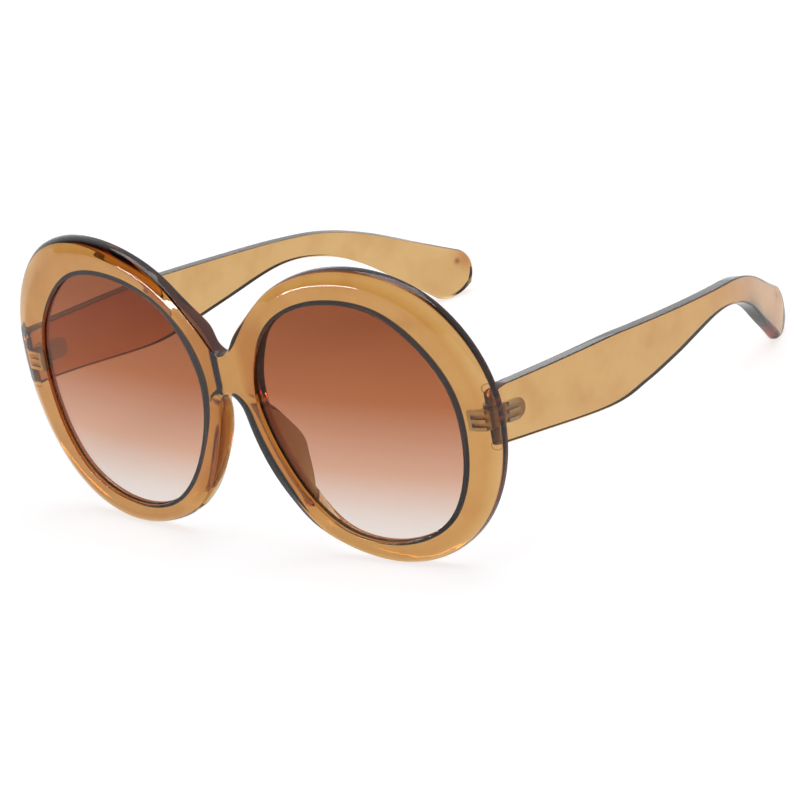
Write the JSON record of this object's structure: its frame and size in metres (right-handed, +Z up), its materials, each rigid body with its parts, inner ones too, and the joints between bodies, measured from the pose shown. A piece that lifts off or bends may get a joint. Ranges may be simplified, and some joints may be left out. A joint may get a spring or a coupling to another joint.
{
  "type": "oversized round sunglasses",
  "caption": "Oversized round sunglasses: clear amber plastic front and temples, graded brown lenses, glued nose pads and screw hinges that fold.",
  "frame": {"origin": "on the surface that the glasses stand on, under the middle of their box", "axes": "+X towards the wearer's left side, +Y from the face of the front back along the temples, +Z up"},
  "size_m": [0.148, 0.146, 0.0733],
  "materials": {
    "front_plastic": "clear amber plastic, polished",
    "temple_plastic": "clear amber plastic, polished",
    "pad_plastic": "clear amber plastic, smooth",
    "lens_tint": "plastic lens, brown at the top and nearly clear at the bottom",
    "hinge_metal": "tumbled nickel silver",
    "screw_steel": "turned steel"
  },
  "bodies": {
    "front": {"front_frame": "front_plastic", "left_lens": "lens_tint", "right_lens": "lens_tint", "left_nose_pad": "pad_plastic", "right_nose_pad": "pad_plastic", "left_front_hinge": "hinge_metal", "right_front_hinge": "hinge_metal", "left_hinge_screw": "screw_steel", "right_hinge_screw": "screw_steel"},
    "left_temple": {"left_temple": "temple_plastic", "left_temple_hinge": "hinge_metal"},
    "right_temple": {"right_temple": "temple_plastic", "right_temple_hinge": "hinge_metal"}
  },
  "joints": [
    {"name": "left_fold", "type": "hinge", "parent": "front", "child": "left_temple", "pos_m": [0.069, -0.06121, 0.0374], "axis": [0, 0, 1], "range_deg": [0, 81]},
    {"name": "right_fold", "type": "hinge", "parent": "front", "child": "right_temple", "pos_m": [-0.069, -0.06121, 0.0374], "axis": [0, 0, -1], "range_deg": [0, 71]}
  ]
}
